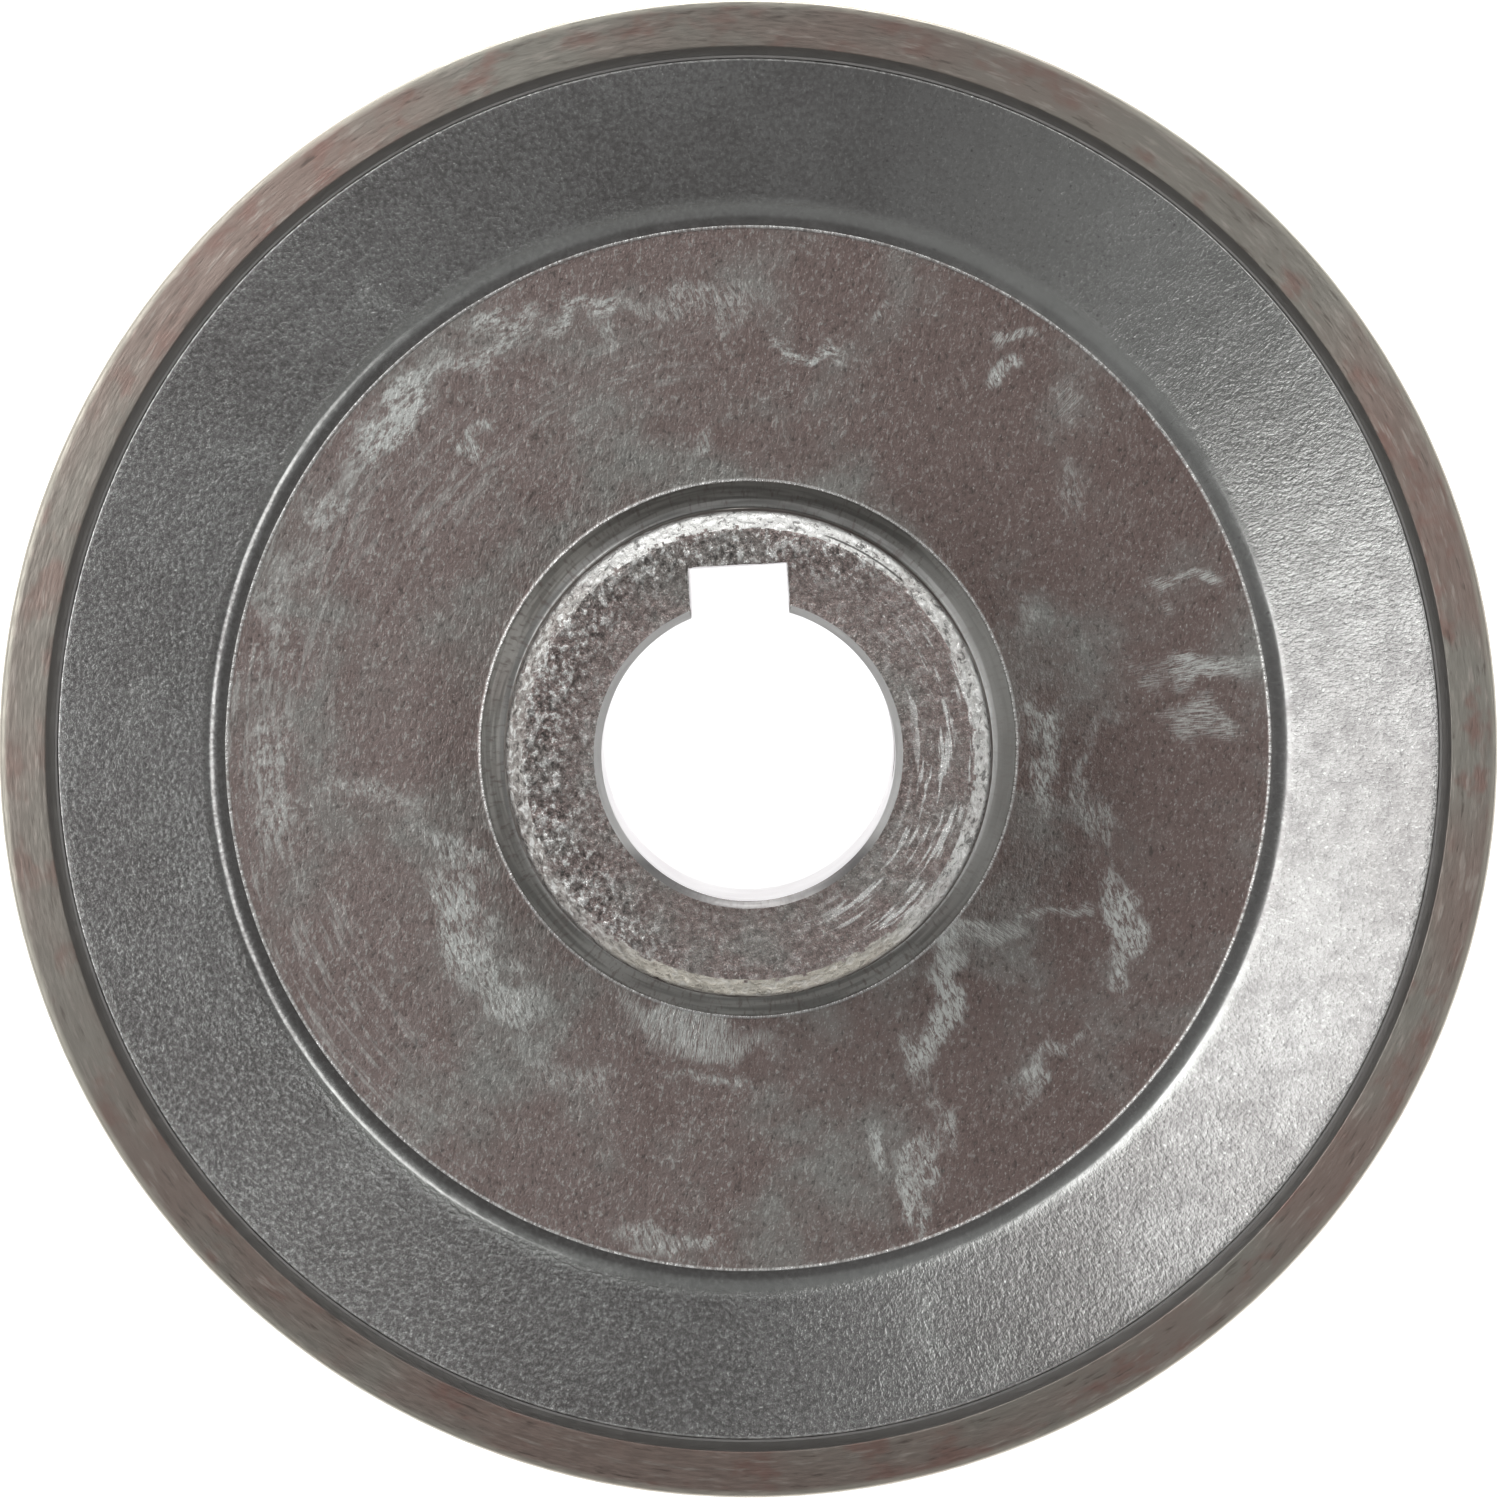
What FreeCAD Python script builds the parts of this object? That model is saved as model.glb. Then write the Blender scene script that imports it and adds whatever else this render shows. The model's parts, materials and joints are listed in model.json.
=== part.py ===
"""Built-up keyed flywheel: hub, two pressed dishes, two web plates, rim ring and two grub screws.

Units are millimetres. The axis of rotation is +Z, the wheel lies on its back face at z = 0,
and the keyway points to +Y.
"""

import FreeCAD, Part

import math
import os

# Bore and keyway: a 24 mm shaft with its standard 8 mm wide key.
BORE_R = 12.0
KEY_WIDTH = 8.0
KEY_TOP = 15.3
BORE_CHAMFER = 0.62

# Hub
HUB_R = 20.0
HUB_LENGTH = 36.0
NOSE_BEVEL_WIDTH = 1.6
NOSE_BEVEL_DROP = 1.1
NOSE_ROUND = 0.6
BACK_BEVEL = 0.8

# Rim: its faces fall away outward from the crest of each lip
RIM_R = 62.0
RIM_WIDTH = 17.4
RIM_FACE_FALL = 0.7
RIM_EDGE_ROUND = 0.35
LIP_R = 58.15
LIP_RUN = 0.75
WEDGE_GAP = 3.0

# Discs
DISC_HOLE_R = 22.15
PLATE_R = 43.4
PLATE_THICKNESS = 1.2
PLATE_EDGE_ROUND = 0.15
DISH_THICKNESS = 3.4
DISH_R = 57.2
DISH_EDGE_ROUND = 0.18
DISH_EDGE_DROP = 0.15
BEND_START_R = 44.45
BEND_ROUND = 2.8
CONE_ANGLE = math.radians(18.0)

# Staked collar of the hub, in the hole of the discs
MOAT_DEPTH = 0.85
MOAT_FLOOR_R = 20.7
MOAT_ROUND = 0.25
PRESS_GAP = 0.01

# Grub screws, M6 with a 3 mm hex socket
SCREW_Z = 26.0
SCREW_HOLE_R = 3.0
SCREW_CLEARANCE = 0.04
SCREW_CHAMFER = 0.5
SCREW_TIP_CHAMFER = 0.8
SCREW_HOLE_CHAMFER = 0.35
SOCKET_ACROSS_FLATS = 3.0
SOCKET_DEPTH = 2.2
SHAFT_SCREW_TIP_R = 12.3
SHAFT_SCREW_LENGTH = 6.0
KEY_SCREW_TIP_R = 15.4
KEY_SCREW_LENGTH = 4.0

MID_Z = RIM_WIDTH / 2.0
HALF_PACK = DISH_THICKNESS + PLATE_THICKNESS
AXIS = FreeCAD.Vector(0, 0, 1)
ORIGIN = FreeCAD.Vector(0, 0, 0)


def corner_arc(before, corner, after, radius):
    """Start, middle and end of the arc that rounds a corner of a profile."""
    to_before = (before - corner).normalize()
    to_after = (after - corner).normalize()
    half_angle = to_before.getAngle(to_after) / 2.0
    reach = radius / math.tan(half_angle)
    centre_line = (to_before + to_after).normalize()
    centre = corner + centre_line * (radius / math.sin(half_angle))
    start = corner + to_before * reach
    end = corner + to_after * reach
    middle = centre - centre_line * radius
    return start, middle, end


def turned(profile):
    """Revolve a closed profile of (radius, height, corner rounding) points about the axis."""
    corners = [FreeCAD.Vector(r, 0, z) for r, z, _ in profile]
    pieces = []
    for i, (_, _, rounding) in enumerate(profile):
        before = corners[i - 1]
        after = corners[(i + 1) % len(corners)]
        if rounding:
            pieces.append(corner_arc(before, corners[i], after, rounding))
        else:
            pieces.append((corners[i], None, corners[i]))
    edges = []
    for i, (start, middle, end) in enumerate(pieces):
        if middle is not None:
            edges.append(Part.Arc(start, middle, end).toShape())
        following = pieces[(i + 1) % len(pieces)][0]
        edges.append(Part.makeLine(end, following))
    face = Part.Face(Part.Wire(edges))
    return face.revolve(ORIGIN, AXIS, 360)


def mirrored(shape):
    """The same piece on the other side of the wheel's middle plane."""
    return shape.mirror(FreeCAD.Vector(0, 0, MID_Z), AXIS)


def radial_cylinder(direction, radius, inner, outer, height):
    """A cylinder along a radius of the wheel, between two distances from the axis."""
    start = direction * inner + FreeCAD.Vector(0, 0, height)
    return Part.makeCylinder(radius, outer - inner, start, direction)


def front_dish():
    """Pressed disc: a flat floor round the hub, a bend, and a cone that opens to the front."""
    rise = math.tan(CONE_ANGLE)
    wall = DISH_THICKNESS / math.cos(CONE_ANGLE)
    floor_z = MID_Z + DISH_THICKNESS
    edge_z = floor_z + (DISH_R - BEND_START_R) * rise
    back_bend_r = BEND_START_R + (wall - DISH_THICKNESS) / rise
    return turned([
        (DISC_HOLE_R, MID_Z, 0),
        (back_bend_r, MID_Z, BEND_ROUND + DISH_THICKNESS),
        (DISH_R, edge_z - wall, 0),
        (DISH_R, edge_z, DISH_EDGE_ROUND),
        (BEND_START_R, floor_z, BEND_ROUND),
        (DISC_HOLE_R, floor_z, 0),
    ])


def front_web_plate():
    """Flat ring plate that lies on the floor of the dish."""
    bottom = MID_Z + DISH_THICKNESS
    top = bottom + PLATE_THICKNESS
    return turned([
        (DISC_HOLE_R, bottom, 0),
        (PLATE_R, bottom, 0),
        (PLATE_R, top, PLATE_EDGE_ROUND),
        (DISC_HOLE_R, top, PLATE_EDGE_ROUND),
    ])


def rim_ring():
    """Turned ring: a wedge between the cones of the dishes and a lip round each of their edges."""
    rise = math.tan(CONE_ANGLE)
    wall = DISH_THICKNESS / math.cos(CONE_ANGLE)
    floor_z = MID_Z + DISH_THICKNESS
    seat_r = DISH_R + PRESS_GAP
    dish_edge_z = floor_z + (DISH_R - BEND_START_R) * rise
    wedge_r = BEND_START_R + WEDGE_GAP
    half = [
        (wedge_r, floor_z + (wedge_r - BEND_START_R) * rise - wall),
        (seat_r, dish_edge_z - wall + PRESS_GAP * rise),
        (seat_r, dish_edge_z - DISH_EDGE_DROP),
        (LIP_R - LIP_RUN, dish_edge_z - DISH_EDGE_DROP),
        (LIP_R, RIM_WIDTH),
        (RIM_R, RIM_WIDTH - RIM_FACE_FALL),
    ]
    rounding = [0, 0, 0, 0, PLATE_EDGE_ROUND, RIM_EDGE_ROUND]
    front = [(r, z, c) for (r, z), c in zip(half, rounding)]
    back = [(r, 2 * MID_Z - z, c) for r, z, c in reversed(front)]
    return turned(front + back)


def hub():
    """Turned hub: long nose in front, staked collar in the discs, short boss behind."""
    collar_r = DISC_HOLE_R - PRESS_GAP
    front_floor = MID_Z + HALF_PACK - MOAT_DEPTH
    back_floor = MID_Z - HALF_PACK + MOAT_DEPTH
    lip = MOAT_DEPTH - 2 * PLATE_EDGE_ROUND
    body = turned([
        (BORE_R, BORE_CHAMFER, 0),
        (BORE_R + BORE_CHAMFER, 0, 0),
        (HUB_R - BACK_BEVEL, 0, 0),
        (HUB_R, BACK_BEVEL, 0),
        (HUB_R, back_floor, MOAT_ROUND),
        (MOAT_FLOOR_R, back_floor, MOAT_ROUND),
        (collar_r, back_floor - lip, 0),
        (collar_r, front_floor + lip, 0),
        (MOAT_FLOOR_R, front_floor, MOAT_ROUND),
        (HUB_R, front_floor, MOAT_ROUND),
        (HUB_R, HUB_LENGTH - NOSE_BEVEL_DROP, NOSE_ROUND),
        (HUB_R - NOSE_BEVEL_WIDTH, HUB_LENGTH, NOSE_ROUND),
        (BORE_R + BORE_CHAMFER, HUB_LENGTH, 0),
        (BORE_R, HUB_LENGTH - BORE_CHAMFER, 0),
    ])
    corner = FreeCAD.Vector(-KEY_WIDTH / 2.0, 0, 0)
    body = body.cut(Part.makeBox(KEY_WIDTH, KEY_TOP, HUB_LENGTH, corner))
    for direction in (FreeCAD.Vector(1, 0, 0), FreeCAD.Vector(0, 1, 0)):
        body = body.cut(screw_hole(direction))
    return body


def screw_hole(direction):
    """Radial hole through one side of the hub, its mouth opened by a small chamfer."""
    hole = radial_cylinder(direction, SCREW_HOLE_R, 0, HUB_R, SCREW_Z)
    mouth = Part.makeCone(
        SCREW_HOLE_R,
        SCREW_HOLE_R + 2 * SCREW_HOLE_CHAMFER,
        2 * SCREW_HOLE_CHAMFER,
        direction * (HUB_R - SCREW_HOLE_CHAMFER) + FreeCAD.Vector(0, 0, SCREW_Z),
        direction,
    )
    return hole.fuse(mouth)


def grub_screw(direction, tip_r, length):
    """Hex-socket grub screw with a flat tapered tip towards the axis of the wheel."""
    radius = SCREW_HOLE_R - SCREW_CLEARANCE
    up = FreeCAD.Vector(0, 0, SCREW_Z)
    tip = Part.makeCone(
        radius - SCREW_TIP_CHAMFER, radius, SCREW_TIP_CHAMFER, direction * tip_r + up, direction
    )
    shank_length = length - SCREW_TIP_CHAMFER - SCREW_CHAMFER
    shank_start = direction * (tip_r + SCREW_TIP_CHAMFER) + up
    shank = Part.makeCylinder(radius, shank_length, shank_start, direction)
    head_start = direction * (tip_r + length - SCREW_CHAMFER) + up
    head = Part.makeCone(
        radius, radius - SCREW_CHAMFER, SCREW_CHAMFER, head_start, direction
    )
    socket_start = direction * (tip_r + length - SOCKET_DEPTH) + up
    socket = hexagon(direction, socket_start).extrude(direction * (SOCKET_DEPTH + SCREW_CHAMFER))
    return tip.fuse([shank, head]).removeSplitter().cut(socket)


def hexagon(direction, centre):
    """Hexagonal face of the socket, square to the given direction."""
    across = AXIS.cross(direction)
    corner_r = SOCKET_ACROSS_FLATS / math.sqrt(3.0)
    corners = []
    for i in range(7):
        angle = math.radians(60.0 * i)
        corners.append(centre + AXIS * (corner_r * math.cos(angle)) + across * (corner_r * math.sin(angle)))
    return Part.Face(Part.makePolygon(corners))


def main():
    """Build every piece and write one STEP file for each."""
    os.makedirs("parts", exist_ok=True)
    dish = front_dish()
    plate = front_web_plate()
    pieces = {
        "hub": hub(),
        "front_dish": dish,
        "rear_dish": mirrored(dish),
        "front_web_plate": plate,
        "rear_web_plate": mirrored(plate),
        "rim_ring": rim_ring(),
        "key_set_screw": grub_screw(FreeCAD.Vector(0, 1, 0), KEY_SCREW_TIP_R, KEY_SCREW_LENGTH),
        "shaft_set_screw": grub_screw(FreeCAD.Vector(1, 0, 0), SHAFT_SCREW_TIP_R, SHAFT_SCREW_LENGTH),
    }
    for name, shape in pieces.items():
        shape.exportStep("parts/" + name + ".step")
        box = shape.BoundBox
        print(name, shape.isValid(), round(shape.Volume), len(shape.Solids), len(shape.Faces),
              [round(v, 2) for v in (box.XMin, box.XMax, box.YMin, box.YMax, box.ZMin, box.ZMax)])


main()
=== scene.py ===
"""Studio scene of a built-up, keyed flywheel that lies on its back face.

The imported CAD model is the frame. Each steel piece is rebuilt here as a dense turned mesh with the
relief of the real surface, rides on its CAD body and takes its place from its CAD node's box.
Lengths are metres, +Z is the axis of rotation and +Y points to the keyway.
"""

import json
import math

import bpy
import numpy as np
from mathutils import Matrix, Vector, noise


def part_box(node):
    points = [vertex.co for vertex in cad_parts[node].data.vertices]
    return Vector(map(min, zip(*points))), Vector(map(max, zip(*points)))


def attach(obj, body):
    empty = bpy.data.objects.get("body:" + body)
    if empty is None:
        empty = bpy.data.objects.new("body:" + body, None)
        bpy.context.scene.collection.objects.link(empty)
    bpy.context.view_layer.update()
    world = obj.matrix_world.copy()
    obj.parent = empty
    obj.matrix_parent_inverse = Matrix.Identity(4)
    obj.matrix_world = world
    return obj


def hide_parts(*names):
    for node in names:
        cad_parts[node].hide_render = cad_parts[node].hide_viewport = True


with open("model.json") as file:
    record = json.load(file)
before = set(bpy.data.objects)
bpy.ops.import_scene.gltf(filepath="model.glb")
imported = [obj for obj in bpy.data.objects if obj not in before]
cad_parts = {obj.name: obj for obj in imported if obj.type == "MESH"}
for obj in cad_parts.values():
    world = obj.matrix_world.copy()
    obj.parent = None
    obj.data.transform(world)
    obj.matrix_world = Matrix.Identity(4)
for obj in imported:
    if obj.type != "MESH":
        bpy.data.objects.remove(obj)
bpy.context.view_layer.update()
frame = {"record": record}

MM = 0.001
UP = Vector((0, 0, 1))

# Places read from the frame
HUB_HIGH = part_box("hub")[1]
RIM_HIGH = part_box("rim_ring")[1]
DISH_LOW, DISH_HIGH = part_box("front_dish")
PLATE_LOW, PLATE_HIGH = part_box("front_web_plate")
BORE_R = frame["record"]["mounts"][0]["dims"]["r_mm"] * MM
HUB_TOP = HUB_HIGH[2]
COLLAR_R = HUB_HIGH[0]
RIM_R = RIM_HIGH[0]
RIM_TOP = RIM_HIGH[2]
DISH_R = DISH_HIGH[0]
MID_Z = DISH_LOW[2]
PLATE_R = PLATE_HIGH[0]
PLATE_TOP = PLATE_HIGH[2]
PLATE_BOTTOM = PLATE_LOW[2]

# Turned sections, as in the CAD
KEY_HALF_WIDTH = 4.0 * MM
KEY_TOP = 15.3 * MM
KEY_CHAMFER = 0.12 * MM
BORE_CHAMFER = 0.62 * MM
BARREL_R = 20.0 * MM
NOSE_BEVEL_WIDTH = 1.6 * MM
NOSE_BEVEL_DROP = 1.1 * MM
NOSE_ROUND = 0.6 * MM
BACK_BEVEL = 0.8 * MM
MOAT_DEPTH = 0.85 * MM
MOAT_FLOOR_R = 20.7 * MM
MOAT_ROUND = 0.25 * MM
EDGE_ROUND = 0.15 * MM
BEND_START_R = 44.45 * MM
BEND_ROUND = 2.8 * MM
DISH_THICKNESS = PLATE_BOTTOM - MID_Z
DISH_EDGE_ROUND = 0.18 * MM
DISH_EDGE_DROP = 0.15 * MM
CONE_ANGLE = math.radians(18.0)
LIP_R = 58.15 * MM
LIP_RUN = 0.75 * MM
RIM_FACE_FALL = 0.7 * MM
RIM_EDGE_ROUND = 0.35 * MM
WEDGE_GAP = 3.0 * MM

# Sheared bead on the plates' cut edges
BEAD_WIDTH = 0.34 * MM
BEAD_HEIGHT = 0.07 * MM

# Grub screws
THREAD_PITCH = 1.0 * MM
THREAD_DEPTH = 0.45 * MM
SOCKET_HALF_WIDTH = 1.5 * MM
SOCKET_DEPTH = 1.9 * MM
SOCKET_CHAMFER = 0.12 * MM
SOCKET_CONE = 0.5 * MM
CUP_DEPTH = 0.5 * MM
TIP_R = 0.2 * MM
THREAD_PLAY = 0.02 * MM
SCREW_BEVEL = 0.45 * MM
SCREW_HOLE_R = 3.0 * MM
HOLE_BEVEL = 0.35 * MM

# The keyway leans this far from the top of the view, and the marks are placed as the view shows them
LEAN = math.radians(3.3)

# Camera: focal length in mm, then its rise over the nose and its offset from the axis
LENS = 404.3
CAMERA_RISE = 1.374
CAMERA_OFFSET = 0.028
AIM_OFFSET = 0.13 * MM

# Each grub screw's node and the body it belongs to
SCREWS = {"key_set_screw": "key_screw", "shaft_set_screw": "shaft_screw"}

# Order of the hub's materials
NOSE, FACE, COLLAR, BORE, BARREL = range(5)

# Meshes: columns round the axis, steps in a quarter circle, and the spacing of points
COLUMNS = 720
ARC_STEPS = 5
PLATE_SPACING = 0.4 * MM
DISH_SPACING = 0.6 * MM
HUB_SPACING = 0.3 * MM
FACE_ROWS = 36
WALL_ROWS = 24
BACK_ROWS = 8
SCREW_COLUMNS = 96
SCREW_SPACING = 0.08 * MM

# Relief: shallow dents everywhere, torn metal and slow swells on the hub's nose
DENT_DEPTH = 0.03 * MM
DENT_SIZE = 2.6 * MM
TORN_HEIGHT = 0.13 * MM
TORN_SIZE = 0.95 * MM
SWELL_HEIGHT = 0.05 * MM
SWELL_SIZE = 4.5 * MM
NOSE_SINK = 0.15 * MM

# The rear pieces wear the front's marks turned by this much
REAR_TURN = math.radians(200)

# A rub's outline wanders by RUB_WARP, in mm; its strength fades over RUB_FADE up to RUB_REACH, both
# in half lengths
RUB_WARP = 2.2
RUB_WARP_SIZE = 3.5 * MM
RUB_REACH = 1.25
RUB_FADE = 0.9

# Rubbed patches, in mm: x, y, length, width, turn in degrees, strength, and the way of the streaks
# in them: u upright, r radial, t along the rings
PLATE_RUBS = [
    (-29.0, 28.3, 15.0, 3.6, 47, 1.0, "t"),
    (-21.5, 33.8, 12.0, 3.0, 32, 0.7, "t"),
    (-34.2, 20.5, 9.0, 2.2, 62, 0.6, "t"),
    (-13.0, 36.4, 12.0, 2.0, 14, 0.65, "t"),
    (-4.0, 37.0, 13.0, 3.4, -8, 0.5, "u"),
    (-11.5, 34.8, 2.6, 2.2, 60, 0.6, "u"),
    (-22.4, 25.3, 2.8, 2.0, 20, 0.75, "u"),
    (-3.2, 25.9, 4.0, 2.4, 70, 0.6, "u"),
    (4.6, 32.6, 8.0, 1.4, -9, 0.9, "t"),
    (10.8, 35.7, 3.0, 2.4, 40, 0.6, "u"),
    (21.0, 31.5, 5.5, 2.6, 12, 0.95, "u"),
    (22.0, 34.4, 4.5, 1.2, 4, 0.75, "r"),
    (27.0, 29.0, 4.0, 2.4, 30, 0.45, "r"),
    (26.3, 22.0, 8.0, 2.6, 100, 0.4, "u"),
    (36.4, 13.5, 6.0, 2.0, 15, 0.7, "r"),
    (37.8, 6.9, 10.0, 4.5, -3, 0.85, "r"),
    (38.0, 2.0, 9.0, 3.6, -12, 0.6, "r"),
    (22.7, 10.0, 5.0, 2.2, -55, 0.4, "u"),
    (24.6, -0.8, 13.0, 3.6, 95, 0.75, "u"),
    (28.5, -3.0, 15.0, 1.8, 85, 0.5, "u"),
    (30.9, -15.2, 12.0, 3.0, -80, 0.8, "u"),
    (18.9, -15.4, 9.0, 3.0, 18, 0.7, "r"),
    (24.2, -13.6, 11.0, 1.1, 15, 0.7, "r"),
    (15.8, -21.6, 16.0, 4.4, 76, 1.0, "u"),
    (24.5, -26.5, 10.0, 1.8, 48, 0.6, "u"),
    (17.1, -31.6, 6.0, 2.6, -50, 0.6, "u"),
    (11.3, -33.7, 5.5, 2.6, -70, 0.95, "u"),
    (14.5, -36.5, 11.0, 2.4, 78, 0.8, "u"),
    (-24.5, -8.0, 10.0, 3.2, -38, 0.65, "u"),
    (-23.8, -14.8, 13.0, 4.6, -70, 0.9, "u"),
    (-20.6, -20.0, 11.0, 4.0, -60, 0.8, "u"),
    (-15.5, -26.5, 11.0, 4.6, -38, 0.45, "u"),
    (-31.5, -3.7, 10.0, 4.0, 0, 0.5, "t"),
    (-4.6, -23.3, 15.0, 4.2, -12, 0.9, "r"),
    (-2.6, -27.4, 9.0, 1.6, -5, 0.7, "u"),
    (-6.3, -41.2, 9.0, 2.6, -8, 0.6, "u"),
    (-39.5, -2.0, 16.0, 4.0, 92, 0.55, "t"),
    (-38.5, 12.5, 12.0, 4.0, 72, 0.5, "t"),
]
DISH_RUBS = [
    (-31.4, 37.2, 6.0, 3.0, 30, 0.7, "u"),
    (-41.8, 24.4, 6.5, 2.4, -20, 0.55, "r"),
    (-50.5, 3.5, 9.0, 3.0, 80, 0.5, "r"),
    (-49.5, -4.5, 8.0, 2.4, 60, 0.35, "r"),
    (-38.0, 32.0, 9.0, 2.0, 47, 0.4, "t"),
    (15.0, -47.5, 12.0, 3.6, 88, 0.7, "u"),
    (21.0, -49.5, 8.0, 3.0, 50, 0.4, "u"),
    (-33.0, -34.0, 7.0, 3.0, -30, 0.35, "u"),
    (-47.0, -19.0, 7.0, 3.0, -60, 0.3, "u"),
    (-13.0, 52.5, 3.4, 0.5, 6, 0.8, "t"),
]


def hash_vector(position, offset):
    """Position moved to another part of the noise, so that two patterns differ."""
    return Vector(position) + Vector((offset, 2.3 * offset, -1.7 * offset))


def relief(position, size, seed, octaves=3):
    """Smooth noise from about -1 to 1, with features of the given size."""
    place = hash_vector(Vector(position) / size, seed)
    return noise.fractal(place, 1.0, 2.0, octaves, noise_basis="PERLIN_ORIGINAL")


def dense_outline(corners, spacing):
    """Points along a closed outline of (radius, height, corner rounding), arcs and runs divided."""
    arcs = []
    for i, (r, z, rounding) in enumerate(corners):
        corner = Vector((r, z))
        if not rounding:
            arcs.append([corner])
            continue
        before = (Vector(corners[i - 1][:2]) - corner).normalized()
        after = (Vector(corners[(i + 1) % len(corners)][:2]) - corner).normalized()
        half = before.angle(after) / 2.0
        reach = rounding / math.tan(half)
        centre = corner + (before + after).normalized() * (rounding / math.sin(half))
        start = corner + before * reach - centre
        end = corner + after * reach - centre
        turn = start.angle_signed(end)
        steps = max(2, round(abs(turn) / math.radians(90) * ARC_STEPS) + 1)
        arcs.append([
            centre + Matrix.Rotation(-turn * k / steps, 2) @ start
            for k in range(steps + 1)
        ])
    points = []
    for i, arc in enumerate(arcs):
        points += arc
        following = arcs[(i + 1) % len(arcs)][0]
        run = following - arc[-1]
        parts = max(1, math.ceil(run.length / spacing))
        points += [arc[-1] + run * (k / parts) for k in range(1, parts)]
    return [(p.x, p.y) for p in points]


def ring_angles(columns, extra=()):
    """Even angles round the axis, with the extra ones put in."""
    even = np.arange(columns) * (2 * math.pi / columns)
    return np.unique(np.concatenate([even, np.array(extra, float)]))


def grid_mesh(name, points, closed_profile=True):
    """Mesh from points[column, row], joined round the axis and, if closed, round the profile."""
    columns, rows = points.shape[:2]
    row_steps = rows if closed_profile else rows - 1
    c, r = np.meshgrid(np.arange(columns), np.arange(row_steps), indexing="ij")
    c_next = (c + 1) % columns
    r_next = (r + 1) % rows
    faces = np.stack(
        [c * rows + r, c_next * rows + r, c_next * rows + r_next, c * rows + r_next], axis=-1
    ).reshape(-1, 4).tolist()
    if not closed_profile:
        faces.append([i * rows for i in range(columns)][::-1])
        faces.append([i * rows + rows - 1 for i in range(columns)])
    mesh = bpy.data.meshes.new(name)
    mesh.from_pydata(points.reshape(-1, 3).tolist(), [], faces)
    mesh.update()
    return mesh


def turned_points(outline, angles):
    """Points of an outline revolved about the axis."""
    outline = np.array(outline)
    radius = outline[None, :, 0]
    height = np.broadcast_to(outline[None, :, 1], (len(angles), len(outline)))
    x = radius * np.cos(angles)[:, None]
    y = radius * np.sin(angles)[:, None]
    return np.stack([x, y, height], axis=-1)


def displace(mesh, offset):
    """Move each point of a mesh along its normal by offset(position)."""
    normals = [n.vector.copy() for n in mesh.vertex_normals]
    for vertex, normal in zip(mesh.vertices, normals):
        vertex.co += normal * offset(vertex.co)
    mesh.update()


def paint_rubs(mesh, rubs, turn):
    """Store how rubbed each point is: x for upright streaks, y for radial ones, z for ones along
    the rings. Each rub is (x, y, length, width, way in degrees, strength, streaks), in mm."""
    places = np.array([v.co for v in mesh.vertices]) / MM
    warp_x = np.array([relief(v.co, RUB_WARP_SIZE, seed=1.3) for v in mesh.vertices])
    warp_y = np.array([relief(v.co, RUB_WARP_SIZE, seed=5.9) for v in mesh.vertices])
    x = places[:, 0] * math.cos(turn) - places[:, 1] * math.sin(turn) + RUB_WARP * warp_x
    y = places[:, 0] * math.sin(turn) + places[:, 1] * math.cos(turn) + RUB_WARP * warp_y
    rubbed = np.zeros((len(places), 3))
    for centre_x, centre_y, length, width, way, strength, streaks in rubs:
        along, across = math.cos(math.radians(way)), math.sin(math.radians(way))
        u = ((x - centre_x) * along + (y - centre_y) * across) / (length / 2)
        v = (-(x - centre_x) * across + (y - centre_y) * along) / (width / 2)
        share = np.clip((RUB_REACH - np.hypot(u, v)) / RUB_FADE, 0, 1)
        share = share * share * (3 - 2 * share) * strength
        kind = "urt".index(streaks)
        rubbed[:, kind] = np.maximum(rubbed[:, kind], share)
    layer = mesh.attributes.new("rubbed", "FLOAT_VECTOR", "POINT")
    layer.data.foreach_set("vector", rubbed.ravel())


def finish_piece(mesh, node, body, materials, sharp=50):
    """Object for a rebuilt CAD node: smooth shading, materials, and its place in the frame."""
    for material in materials:
        mesh.materials.append(material)
    mesh.polygons.foreach_set("use_smooth", [True] * len(mesh.polygons))
    mesh.set_sharp_from_angle(angle=math.radians(sharp))
    piece = bpy.data.objects.new(node + "_detailed", mesh)
    bpy.context.scene.collection.objects.link(piece)
    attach(piece, body)
    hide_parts(node)
    return piece


def outward(points):
    """The same grid with its profile reversed if its faces would point inward."""
    mesh = grid_mesh("probe", points)
    volume = 0.0
    for face in mesh.polygons:
        volume += face.center.dot(face.normal) * face.area
    bpy.data.meshes.remove(mesh)
    return points if volume > 0 else points[:, ::-1]


def mirrored_heights(corners):
    """A section on the other side of the wheel's middle plane, in the same sense of travel."""
    return [(r, 2 * MID_Z - z, rounding) for r, z, rounding in reversed(corners)]


# ---------------------------------------------------------------- sections


def plate_section():
    """Flat ring plate in the front dish, with the sheared bead of metal on both its edges."""
    crest = PLATE_TOP + BEAD_HEIGHT
    return [
        (COLLAR_R, PLATE_BOTTOM, 0),
        (PLATE_R, PLATE_BOTTOM, 0),
        (PLATE_R, crest, BEAD_HEIGHT),
        (PLATE_R - 0.4 * BEAD_WIDTH, crest, 0.5 * BEAD_HEIGHT),
        (PLATE_R - BEAD_WIDTH, PLATE_TOP, 0.5 * BEAD_HEIGHT),
        (COLLAR_R + BEAD_WIDTH, PLATE_TOP, 0.5 * BEAD_HEIGHT),
        (COLLAR_R + 0.4 * BEAD_WIDTH, crest, 0.5 * BEAD_HEIGHT),
        (COLLAR_R, crest, BEAD_HEIGHT),
    ]


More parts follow.
